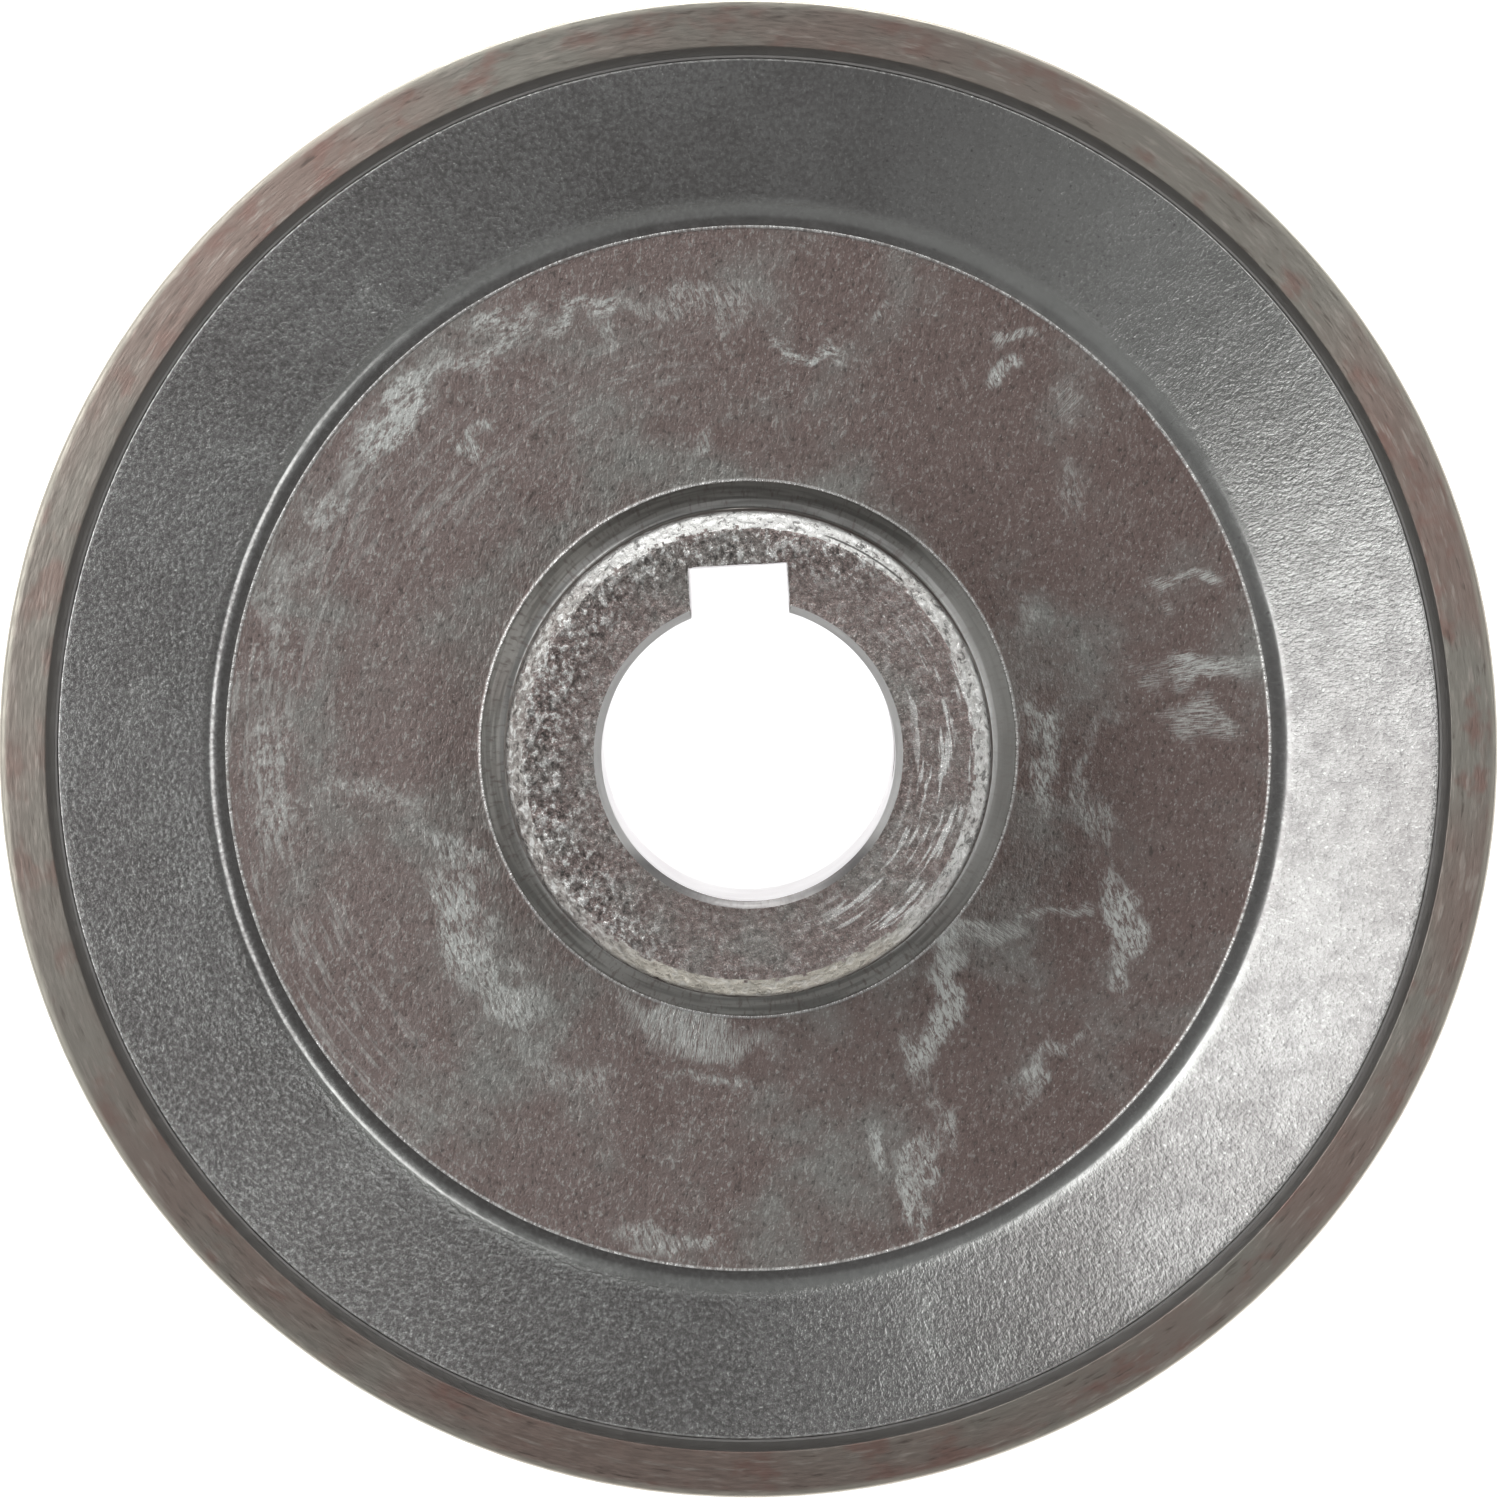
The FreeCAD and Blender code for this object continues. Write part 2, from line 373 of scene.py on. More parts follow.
def dish_section():
    """Front dish: floor, bend and cone."""
    rise = math.tan(CONE_ANGLE)
    wall = DISH_THICKNESS / math.cos(CONE_ANGLE)
    back_bend_r = BEND_START_R + (wall - DISH_THICKNESS) / rise
    edge_z = PLATE_BOTTOM + (DISH_R - BEND_START_R) * rise
    return [
        (COLLAR_R, MID_Z, 0),
        (back_bend_r, MID_Z, BEND_ROUND + DISH_THICKNESS),
        (DISH_R, edge_z - wall, 0),
        (DISH_R, edge_z, DISH_EDGE_ROUND),
        (BEND_START_R, PLATE_BOTTOM, BEND_ROUND),
        (COLLAR_R, PLATE_BOTTOM, 0),
    ]


def rim_section():
    """Rim ring: wedge between the dishes, lips round their edges, faces that fall outward."""
    rise = math.tan(CONE_ANGLE)
    wall = DISH_THICKNESS / math.cos(CONE_ANGLE)
    edge_z = PLATE_BOTTOM + (DISH_R - BEND_START_R) * rise
    wedge_r = BEND_START_R + WEDGE_GAP
    half = [
        (wedge_r, PLATE_BOTTOM + (wedge_r - BEND_START_R) * rise - wall, 0),
        (DISH_R, edge_z - wall, 0),
        (DISH_R, edge_z - DISH_EDGE_DROP, 0),
        (LIP_R - LIP_RUN, edge_z - DISH_EDGE_DROP, 0),
        (LIP_R, RIM_TOP, EDGE_ROUND),
        (RIM_R, RIM_TOP - RIM_FACE_FALL, RIM_EDGE_ROUND),
    ]
    return half + mirrored_heights(half)


def hub_outer_section():
    """Outside of the hub, from the back face's bevel round to the nose's bevel."""
    front_floor = PLATE_TOP - MOAT_DEPTH
    back_floor = 2 * MID_Z - front_floor
    lip = MOAT_DEPTH - 2 * EDGE_ROUND
    return [
        (BARREL_R - BACK_BEVEL, 0, 0),
        (BARREL_R, BACK_BEVEL, 0),
        (BARREL_R, back_floor, MOAT_ROUND),
        (MOAT_FLOOR_R, back_floor, MOAT_ROUND),
        (COLLAR_R, back_floor - lip, 0),
        (COLLAR_R, front_floor + lip, 0),
        (MOAT_FLOOR_R, front_floor, MOAT_ROUND),
        (BARREL_R, front_floor, MOAT_ROUND),
        (BARREL_R, HUB_TOP - NOSE_BEVEL_DROP, NOSE_ROUND),
        (BARREL_R - NOSE_BEVEL_WIDTH, HUB_TOP, NOSE_ROUND),
        (BARREL_R - NOSE_BEVEL_WIDTH - 1.0 * MM, HUB_TOP, 0),
    ]


def bore_radius(angles):
    """Distance from the axis to the wall of the bore or of the keyway, for each angle."""
    radius = np.full(len(angles), BORE_R)
    for i, angle in enumerate(angles):
        across, along = abs(math.cos(angle)), math.sin(angle)
        if along > 0 and across * BORE_R < KEY_HALF_WIDTH - 1e-9:
            to_side = KEY_HALF_WIDTH / max(across, 1e-9)
            to_floor = KEY_TOP / along
            radius[i] = min(to_side, to_floor)
    return radius


# ---------------------------------------------------------------- pieces


def make_ring(node, section, spacing, material, rubs=(), turn=LEAN):
    """A turned ring that stands for a CAD node."""
    points = outward(turned_points(dense_outline(section, spacing), ring_angles(COLUMNS)))
    mesh = grid_mesh(node, points)
    paint_rubs(mesh, rubs, turn)
    displace(mesh, lambda place: -DENT_DEPTH * (0.5 + 0.5 * relief(place, DENT_SIZE, seed=9.1)))
    return finish_piece(mesh, node, "wheel", [material])


def make_hub(materials):
    """Hub: outer section as turned, bore and keyway as one wall whose radius varies."""
    mouth = math.acos(KEY_HALF_WIDTH / BORE_R)
    floor = math.atan2(KEY_TOP, KEY_HALF_WIDTH)
    angles = ring_angles(COLUMNS, (mouth, floor, math.pi - floor, math.pi - mouth))
    outer = dense_outline_open(hub_outer_section(), HUB_SPACING)
    wall = bore_radius(angles)
    chamfer = np.where(wall > BORE_R + 1e-9, KEY_CHAMFER, BORE_CHAMFER)
    columns = turned_points(outer, angles)
    rows = [columns[:, i] for i in range(columns.shape[1])]
    nose_inner = columns[:, -1]
    back_inner = columns[:, 0]

    def at(radius, height):
        return np.stack([radius * np.cos(angles), radius * np.sin(angles),
                         np.full(len(angles), height)], axis=-1)

    top_edge = at(wall + chamfer, HUB_TOP)
    bottom_edge = at(wall + chamfer, 0.0)
    for k in range(1, FACE_ROWS):
        rows.append(nose_inner + (top_edge - nose_inner) * (k / FACE_ROWS))
    rows.append(top_edge)
    high = at(wall, HUB_TOP) - np.outer(chamfer, (0, 0, 1))
    low = at(wall, 0.0) + np.outer(chamfer, (0, 0, 1))
    for k in range(WALL_ROWS + 1):
        rows.append(high + (low - high) * (k / WALL_ROWS))
    rows.append(bottom_edge)
    for k in range(1, BACK_ROWS):
        rows.append(bottom_edge + (back_inner - bottom_edge) * (k / BACK_ROWS))
    points = outward(np.stack(rows, axis=1))
    mesh = grid_mesh("hub", points)
    displace(mesh, nose_relief)
    mesh = drilled(mesh, [screw_hole(node) for node in SCREWS])
    for face in mesh.polygons:
        face.material_index = hub_zone(face.center, face.normal)
    return finish_piece(mesh, "hub", "wheel", materials, sharp=35)


def dense_outline_open(corners, spacing):
    """As dense_outline, for a stretch that doesn't close on itself."""
    points = dense_outline(corners, spacing)
    last = max(range(len(points)), key=lambda i: (points[i][1], -points[i][0]))
    return points[:last + 1]


def hub_zone(place, normal):
    """Which of the hub's materials a face wears."""
    radius = math.hypot(place.x, place.y)
    inwards = -(normal.x * place.x + normal.y * place.y) / radius
    if inwards > 0.9 and radius < KEY_TOP + 0.1 * MM:
        return BORE
    beside_key = abs(place.x) < KEY_HALF_WIDTH + 0.1 * MM and place.y < KEY_TOP + 0.1 * MM
    if beside_key and place.y > 0.9 * BORE_R and abs(normal.z) < 0.3:
        return BORE
    if radius < BORE_R + 0.95 * BORE_CHAMFER:
        return COLLAR
    if normal.z > 0.85 and place.z > HUB_TOP - 0.4 * MM:
        return FACE
    if radius > BARREL_R - 0.001 * MM and abs(place.z - MID_Z) < PLATE_TOP - MID_Z + 0.1 * MM:
        return COLLAR
    return NOSE if place.z > HUB_TOP - NOSE_BEVEL_DROP - NOSE_ROUND else BARREL


def nose_relief(place):
    """Height of the torn and hammered metal on the hub's nose; its crests reach the CAD face."""
    radius = math.hypot(place.x, place.y)
    if place.z < HUB_TOP - 3 * NOSE_BEVEL_DROP or radius < BORE_R + BORE_CHAMFER:
        return 0.0
    inner = min(1.0, (radius - BORE_R - BORE_CHAMFER) / (0.8 * MM))
    depth = min(1.0, (place.z - HUB_TOP + 3 * NOSE_BEVEL_DROP) / (1.5 * NOSE_BEVEL_DROP))
    left = max(0.0, min(1.0, 0.5 - place.x / (14 * MM)))
    torn = relief(place, TORN_SIZE, seed=3.1) * TORN_HEIGHT * max(left, 0.25)
    swell = relief(place, SWELL_SIZE, seed=7.7, octaves=2) * SWELL_HEIGHT
    return (torn + swell) * inner * depth - NOSE_SINK * inner


def screw_hole(node):
    """Cutter for a grub screw's hole: a cylinder with a conical mouth, along the screw's axis."""
    profile = [
        (SCREW_HOLE_R, 0.6 * BORE_R),
        (SCREW_HOLE_R, BARREL_R - HOLE_BEVEL),
        (SCREW_HOLE_R + HOLE_BEVEL, BARREL_R),
        (SCREW_HOLE_R + 2 * HOLE_BEVEL, BARREL_R + HOLE_BEVEL),
    ]
    mesh = grid_mesh("hole", turned_points(profile, ring_angles(64)), closed_profile=False)
    mesh.transform(screw_axis(node))
    return mesh


def screw_axis(node):
    """Matrix that lays a piece drawn along +Z on a grub screw's axis, its start on the wheel's axis."""
    low, high = (Vector(corner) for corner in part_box(node))
    centre = (low + high) / 2
    way = Vector((centre.x, centre.y, 0)).normalized()
    side = UP.cross(way)
    turn = Matrix((side, UP, way)).transposed().to_4x4()
    return Matrix.Translation((0, 0, centre.z)) @ turn


def drilled(mesh, cutters):
    """The mesh with the cutters taken out of it."""
    body = bpy.data.objects.new("body", mesh)
    bpy.context.scene.collection.objects.link(body)
    tools = []
    for cutter in cutters:
        tool = bpy.data.objects.new("tool", cutter)
        bpy.context.scene.collection.objects.link(tool)
        cut = body.modifiers.new("cut", "BOOLEAN")
        cut.object = tool
        cut.operation = "DIFFERENCE"
        cut.solver = "EXACT"
        tools.append(tool)
    seen = body.evaluated_get(bpy.context.evaluated_depsgraph_get())
    result = bpy.data.meshes.new_from_object(seen)
    for spare in [body, *tools]:
        bpy.data.objects.remove(spare)
    return result


def make_screw(node, material):
    """Grub screw with a helical thread, a cup point and a hexagon socket."""
    low, high = (Vector(corner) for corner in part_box(node))
    crest = (high.z - low.z) / 2
    ways = [abs(high.x), abs(low.x)] if abs(high.x) > abs(high.y) else [abs(high.y), abs(low.y)]
    end, tip = max(ways), min(ways)
    angles = ring_angles(SCREW_COLUMNS)
    root = crest - THREAD_DEPTH
    thread_rows = round((end - tip) / SCREW_SPACING)
    heights = np.linspace(tip + SCREW_BEVEL, end - SCREW_BEVEL, thread_rows)
    turns = heights[:, None] / THREAD_PITCH - angles[None, :] / (2 * math.pi)
    flank = np.clip(2.6 * np.abs((turns % 1.0) - 0.5) - 0.15, 0, 1)
    run_out = np.clip((heights - tip - SCREW_BEVEL) / (0.4 * MM), 0, 1)
    run_out = np.minimum(run_out, np.clip((end - SCREW_BEVEL - heights) / (0.3 * MM), 0, 1))
    radii = crest - THREAD_DEPTH * (1 - flank) * run_out[:, None] - THREAD_PLAY
    corner = (angles + math.pi / 6) % (math.pi / 3) - math.pi / 6
    hexagon = SOCKET_HALF_WIDTH / np.cos(corner)
    even = np.ones(len(angles))
    rows = [(TIP_R * even, tip + CUP_DEPTH), (0.55 * root * even, tip), (root * even, tip)]
    rows += list(zip(radii, heights))
    rows += [
        (root * even, end),
        (hexagon + SOCKET_CHAMFER, end),
        (hexagon, end - SOCKET_CHAMFER),
        (hexagon, end - SOCKET_DEPTH),
        (TIP_R * even, end - SOCKET_DEPTH - SOCKET_CONE),
    ]
    points = np.stack([
        np.stack([r * np.cos(angles), r * np.sin(angles), np.full(len(angles), z)], axis=-1)
        for r, z in rows
    ], axis=1)
    mesh = grid_mesh(node, points, closed_profile=False)
    mesh.transform(screw_axis(node))
    return finish_piece(mesh, node, SCREWS[node], [material], sharp=40)


# ---------------------------------------------------------------- materials


class Finish:
    """A material's node tree, with short calls that add a node and give back its output."""

    def __init__(self, name, turn=0.0):
        self.material = bpy.data.materials.new(name)
        self.material.use_nodes = True
        self.tree = self.material.node_tree
        self.tree.nodes.clear()
        self.place = self.node("ShaderNodeTexCoord").outputs["Object"]
        if turn:
            self.place = self.stretched(1.0, 1.0, 1.0, turn)
        split = self.node("ShaderNodeSeparateXYZ", {"Vector": self.place})
        self.x, self.y, self.z = split.outputs
        flat = self.node("ShaderNodeCombineXYZ", {"X": self.x, "Y": self.y})
        self.radius = self.vector("LENGTH", flat.outputs[0], out="Value")
        self.heading = self.vector("NORMALIZE", flat.outputs[0])

    def node(self, kind, inputs=None, **settings):
        """Add a node, set its properties, and fill or link its inputs."""
        made = self.tree.nodes.new(kind)
        for key, value in settings.items():
            setattr(made, key, value)
        for key, value in (inputs or {}).items():
            socket = made.inputs[key]
            if isinstance(value, bpy.types.NodeSocket):
                self.tree.links.new(value, socket)
            else:
                socket.default_value = value
        return made

    def math(self, operation, a, b=0.0, clamp=False):
        """A sum, product or other operation on two numbers."""
        made = self.node("ShaderNodeMath", {0: a, 1: b}, operation=operation, use_clamp=clamp)
        return made.outputs[0]

    def vector(self, operation, a, b=None, scale=None, out="Vector"):
        """An operation on vectors."""
        inputs = {0: a}
        if b is not None:
            inputs[1] = b
        if scale is not None:
            inputs["Scale"] = scale
        return self.node("ShaderNodeVectorMath", inputs, operation=operation).outputs[out]

    def step(self, value, low, high, bottom=0.0, top=1.0):
        """Smooth step of a value from low to high."""
        made = self.node(
            "ShaderNodeMapRange",
            {"Value": value, "From Min": low, "From Max": high, "To Min": bottom, "To Max": top},
            interpolation_type="SMOOTHSTEP",
        )
        return made.outputs["Result"]

    def noise(self, place, scale, detail=3.0, rough=0.5, warp=0.0):
        """Noise from 0 to 1 with about scale features a metre."""
        made = self.node(
            "ShaderNodeTexNoise",
            {"Vector": place, "Scale": scale, "Detail": detail, "Roughness": rough, "Distortion": warp},
        )
        return made.outputs["Fac"]

    def stretched(self, x, y, z, turn=0.0):
        """Object coordinates turned in the plane of the wheel and scaled."""
        made = self.node(
            "ShaderNodeMapping",
            {"Vector": self.place, "Rotation": (0, 0, turn), "Scale": (x, y, z)},
            vector_type="TEXTURE",
        )
        return made.outputs[0]

    def ring_space(self, around, across, falls_outward=False):
        """Coordinates that run round the axis and across the rings, each at its own rate."""
        along = self.vector("SCALE", self.heading, scale=around)
        run = self.math("SUBTRACT" if falls_outward else "ADD", self.radius, self.z)
        out = self.math("MULTIPLY", run, across)
        lift = self.node("ShaderNodeCombineXYZ", {"Z": out}).outputs[0]
        return self.vector("ADD", along, lift)

    def mix(self, share, a, b):
        """Two colours mixed."""
        made = self.node("ShaderNodeMix", {0: share, 6: a, 7: b}, data_type="RGBA")
        return made.outputs[2]

    def near(self, value, centre, reach):
        """1 where value is at centre, falling smoothly to 0 at reach from it."""
        away = self.math("ABSOLUTE", self.math("SUBTRACT", value, centre))
        return self.step(away, 0.0, reach, 1.0, 0.0)

    def toward(self, azimuth, low, high):
        """1 near an azimuth in degrees, 0 away from it; low and high are cosines of the distance."""
        a = math.radians(azimuth)
        facing_it = self.vector("DOT_PRODUCT", self.heading, (math.cos(a), math.sin(a), 0), out="Value")
        return self.step(facing_it, low, high)

    def bump(self, height, distance, strength=1.0, below=None):
        """Bump of a height from 0 to 1 that stands for the given distance."""
        inputs = {"Height": height, "Distance": distance, "Strength": strength}
        if below is not None:
            inputs["Normal"] = below
        return self.node("ShaderNodeBump", inputs).outputs[0]

    def metal(self, colour, roughness, normal, metallic=1.0):
        """Close the tree with a metal surface."""
        surface = self.node(
            "ShaderNodeBsdfPrincipled",
            {"Base Color": colour, "Roughness": roughness, "Normal": normal, "Metallic": metallic},
        )
        out = self.tree.nodes.new("ShaderNodeOutputMaterial")
        self.tree.links.new(surface.outputs[0], out.inputs[0])
        return self.material


MAUVE = (0.33, 0.27, 0.255, 1)
DARK_MAUVE = (0.25, 0.19, 0.175, 1)
GREEN_GREY = (0.36, 0.36, 0.34, 1)
PALE_GREY = (0.78, 0.80, 0.77, 1)
BRIGHT = (0.95, 0.95, 0.93, 1)
DARK = (0.08, 0.075, 0.07, 1)
# Colour of the rim's painted shade
RIM_PAINTED_SHADE = (0.21, 0.19, 0.17, 1)


def rub_mask(f):
    """How pale the rubbed patches are: the painted shares, each broken into its own streaks."""
    layer = f.node("ShaderNodeAttribute", attribute_type="GEOMETRY", attribute_name="rubbed")
    shares = f.node("ShaderNodeSeparateXYZ", {"Vector": layer.outputs["Vector"]}).outputs
    ways = (
        f.noise(f.stretched(0.8, 2.6, 1.0, 0.25), 2500, 4, 0.75, 0.9),
        f.noise(f.ring_space(300, 800), 1.0, 4, 0.75, 0.7),
        f.noise(f.ring_space(45, 2400), 1.0, 4, 0.75, 0.1),
    )
    total = None
    for share, way in zip(shares, ways):
        streak = f.step(way, 0.38, 0.62, 0.12, 1.0)
        mark = f.math("MULTIPLY", share, streak)
        total = mark if total is None else f.math("ADD", total, mark, clamp=True)
    return f.step(total, 0.0, 0.85)


def plate_material(name, turn=0.0):
    """Dull rolled plate: mauve-brown scale with painted shade towards +X, pale flecks, rubbed patches
    and a painted highlight along the cut edges.
    """
    f = Finish(name, turn)
    blotch = f.noise(f.place, 75, 4, 0.55, 0.4)
    cloud = f.noise(f.place, 320, 4, 0.6)
    # Painted shade: the scale darkens from -X towards +X.
    side = f.step(f.x, -0.040, 0.036, 0.0, 1.0)
    base = f.mix(side, MAUVE, DARK_MAUVE)
    base = f.mix(f.step(blotch, 0.45, 0.68, 0.0, 0.85), base, GREEN_GREY)
    base = f.mix(f.step(cloud, 0.42, 0.75, 0.0, 0.55), base, DARK_MAUVE)
    fleck = f.noise(f.stretched(0.8, 1.5, 1.0, -0.2), 2300, 3, 0.65)
    speck = f.noise(f.stretched(0.8, 1.4, 1.0, -0.3), 4300, 2, 0.5)
    lumps = f.noise(f.place, 800, 3, 0.6)
    density = f.step(f.x, -0.02, 0.04, 0.4, 0.2)
    base = f.mix(f.math("MULTIPLY", f.step(fleck, 0.54, 0.70), density), base, PALE_GREY)
    base = f.mix(f.step(speck, 0.58, 0.76, 0.0, 0.45), base, PALE_GREY)
    base = f.mix(f.step(fleck, 0.46, 0.28, 0.0, 0.6), base, DARK)
    lathe = f.noise(f.ring_space(9, 1700), 1.0, 3, 0.6)
    turned = f.math("MULTIPLY", f.step(f.x, -0.02, -0.036), f.step(f.radius, 0.030, 0.040))
    base = f.mix(f.math("MULTIPLY", f.step(lathe, 0.5, 0.68, 0.0, 0.4), turned), base, PALE_GREY)
    swept = f.math("MULTIPLY", f.near(f.radius, 0.033, 0.006), f.toward(122, 0.80, 0.97))
    base = f.mix(f.math("MULTIPLY", f.step(lathe, 0.50, 0.66, 0.0, 0.3), swept), base, PALE_GREY)
    colour = f.mix(f.math("MULTIPLY", rub_mask(f), 0.95), base, PALE_GREY)
    # Painted highlight along both cut edges, broken by a saw-tooth pattern; the same mask makes the
    # edges smoother.
    saw = f.noise(f.ring_space(230, 60), 1.0, 1, 0.5)
    edge = f.math("ADD", f.step(f.radius, PLATE_R - BEAD_WIDTH, PLATE_R - 0.4 * BEAD_WIDTH),
                  f.step(f.radius, COLLAR_R + BEAD_WIDTH, COLLAR_R + 0.4 * BEAD_WIDTH))
    edge = f.math("MULTIPLY", edge, f.step(saw, 0.35, 0.6, 0.3, 1.0))
    colour = f.mix(edge, colour, BRIGHT)
    grain = f.step(cloud, 0.3, 0.7, 0.38, 0.48)
    rough = f.math("SUBTRACT", grain, f.math("MULTIPLY", edge, 0.18))
    normal = f.bump(lumps, 0.13 * MM, 0.5)
    normal = f.bump(fleck, 0.13 * MM, 0.7, normal)
    normal = f.bump(lathe, 0.05 * MM, 0.4, normal)
    return f.metal(colour, rough, normal)


def dish_material(name, turn=0.0):
    """Blasted pressing: cool grey with an orange-peel grain and rubbed patches, smooth in the bend.
    Painted highlights lie in the bend, along the outer edge and towards azimuth 38; painted shade
    lies towards azimuth 235 and just inside the bend.
    """
    f = Finish(name, turn)
    blotch = f.noise(f.place, 65, 4, 0.55)
    mottle = f.noise(f.place, 420, 4, 0.6)
    base = f.mix(f.step(blotch, 0.35, 0.65), (0.335, 0.326, 0.318, 1), (0.425, 0.42, 0.412, 1))
    base = f.mix(f.step(mottle, 0.42, 0.72, 0.0, 0.45), base, (0.28, 0.265, 0.265, 1))
    # Painted highlight towards azimuth 38 and painted shade towards azimuth 235.
    base = f.mix(f.math("MULTIPLY", f.toward(38, 0.80, 0.99), 0.4), base, PALE_GREY)
    base = f.mix(f.math("MULTIPLY", f.toward(235, 0.60, 0.95), 0.3), base, DARK)
    grain = f.noise(f.ring_space(260, 1500), 1.0, 3, 0.6)
    peel = f.noise(f.place, 2500, 3, 0.6)
    speck = f.noise(f.place, 3600, 2, 0.6)
    shade = f.step(f.x, 0.03, -0.01, 0.12, 0.4)
    base = f.mix(f.math("MULTIPLY", f.step(peel, 0.45, 0.65), shade), base, (0.60, 0.61, 0.60, 1))
    base = f.mix(f.math("MULTIPLY", f.step(peel, 0.50, 0.32), shade), base, (0.19, 0.18, 0.18, 1))
    base = f.mix(f.step(grain, 0.56, 0.75, 0.0, 0.4), base, PALE_GREY)
    base = f.mix(f.step(speck, 0.62, 0.78, 0.0, 0.6), base, PALE_GREY)
    base = f.mix(f.step(speck, 0.38, 0.24, 0.0, 0.5), base, DARK)
    # Painted highlight in the bend, strongest towards +Y and -Y.
    bend_highlight_share = f.step(f.math("ABSOLUTE", f.x), 0.034, 0.043, 0.5, 0.0)
    pressed = f.math("MULTIPLY", f.near(f.radius, BEND_START_R + 0.4 * MM, 1.3 * MM), bend_highlight_share)
    base = f.mix(pressed, base, PALE_GREY)
    colour = f.mix(f.math("MULTIPLY", rub_mask(f), 0.55), base, PALE_GREY)
    bend = f.near(f.radius, BEND_START_R + 0.1 * MM, 1.0 * MM)
    bend = f.math("MULTIPLY", bend, f.step(f.x, 0.02, -0.02, 0.5, 1.0))
    # Painted shade on the floor just inside the bend, stronger towards -X.
    groove_shade = f.step(f.radius, BEND_START_R - 0.1 * MM, BEND_START_R - 0.5 * MM, 0.0, 0.55)
    groove_shade = f.math("MULTIPLY", groove_shade, f.step(f.x, 0.01, 0.035, 1.0, 0.3))
    colour = f.mix(groove_shade, colour, (0.19, 0.18, 0.175, 1))
    # Painted highlight along the dish's outer edge, broken by nicks.
    nick = f.noise(f.ring_space(150, 60), 1.0, 1, 0.5)
    edge = f.math("MULTIPLY", f.near(f.radius, DISH_R - 0.10 * MM, 0.20 * MM),
                  f.step(nick, 0.35, 0.6, 0.4, 1.0))
    colour = f.mix(edge, colour, BRIGHT)
    rough = f.step(mottle, 0.3, 0.7, 0.20, 0.27)
    rough = f.math("SUBTRACT", rough, f.math("MULTIPLY", bend, 0.06))
    open_cone = f.step(f.radius, BEND_START_R + 0.3 * MM, BEND_START_R + 1.0 * MM, 0.05, 1.0)
    calm = f.step(f.x, 0.025, -0.005, 0.6, 1.0)
    normal = f.bump(f.math("MULTIPLY", peel, f.math("MULTIPLY", open_cone, calm)), 0.11 * MM, 0.6)
    normal = f.bump(f.math("MULTIPLY", grain, open_cone), 0.04 * MM, 0.5, normal)
    return f.metal(colour, rough, normal)


def rim_material():
    """Turned steel: fine rings with brown-grey patches, pale corners, a worn grey outer surface."""
    f = Finish("rim_steel")
    rings = f.noise(f.ring_space(16, 2300), 1.0, 3, 0.65)
    fine = f.noise(f.ring_space(40, 6000), 1.0, 2, 0.6)
    patch = f.noise(f.ring_space(2.2, 90), 1.0, 3, 0.6)
    rust = f.noise(f.ring_space(12, 420), 1.0, 3, 0.6)
    base = f.mix(f.step(patch, 0.42, 0.62), (0.38, 0.30, 0.265, 1), (0.385, 0.365, 0.325, 1))
    base = f.mix(f.step(rust, 0.50, 0.68, 0.0, 0.75), base, (0.36, 0.225, 0.195, 1))
    base = f.mix(f.step(rings, 0.54, 0.72, 0.0, 0.65), base, (0.60, 0.54, 0.49, 1))
    base = f.mix(f.step(rings, 0.42, 0.28, 0.0, 0.7), base, (0.15, 0.125, 0.11, 1))
    # Painted shade towards -X and towards azimuth 68.
    base = f.mix(f.step(f.x, -0.030, -0.062, 0.0, 0.55), base, RIM_PAINTED_SHADE)
    base = f.mix(f.math("MULTIPLY", f.toward(68, 0.75, 0.95), 0.3), base, RIM_PAINTED_SHADE)
    off_middle = f.math("ABSOLUTE", f.math("SUBTRACT", f.z, MID_Z))
    corner = RIM_TOP - RIM_FACE_FALL - MID_Z
    tread = f.math("MULTIPLY", f.step(f.radius, RIM_R - 0.30 * MM, RIM_R - 0.10 * MM),
                   f.step(off_middle, corner, corner - 0.4 * MM, 0.0, 0.72))
    worn = f.mix(f.step(rings, 0.45, 0.60), (0.15, 0.147, 0.142, 1), (0.25, 0.245, 0.235, 1))
    base = f.mix(tread, base, worn)
    pale = f.math("MULTIPLY", f.step(f.radius, RIM_R - 0.75 * MM, RIM_R - 0.25 * MM, 0.0, 0.7),
                  f.step(off_middle, corner - 0.6 * MM, corner - 0.2 * MM))
    colour = f.mix(pale, base, (0.72, 0.69, 0.60, 1))
    lip = f.step(f.radius, LIP_R + 0.05 * MM, LIP_R - 0.1 * MM)
    colour = f.mix(lip, colour, (0.36, 0.35, 0.34, 1))
    rough = f.step(fine, 0.3, 0.7, 0.34, 0.50)
    normal = f.bump(rings, 0.06 * MM, 0.5)
    normal = f.bump(fine, 0.02 * MM, 0.5, normal)
    return f.metal(colour, rough, normal)


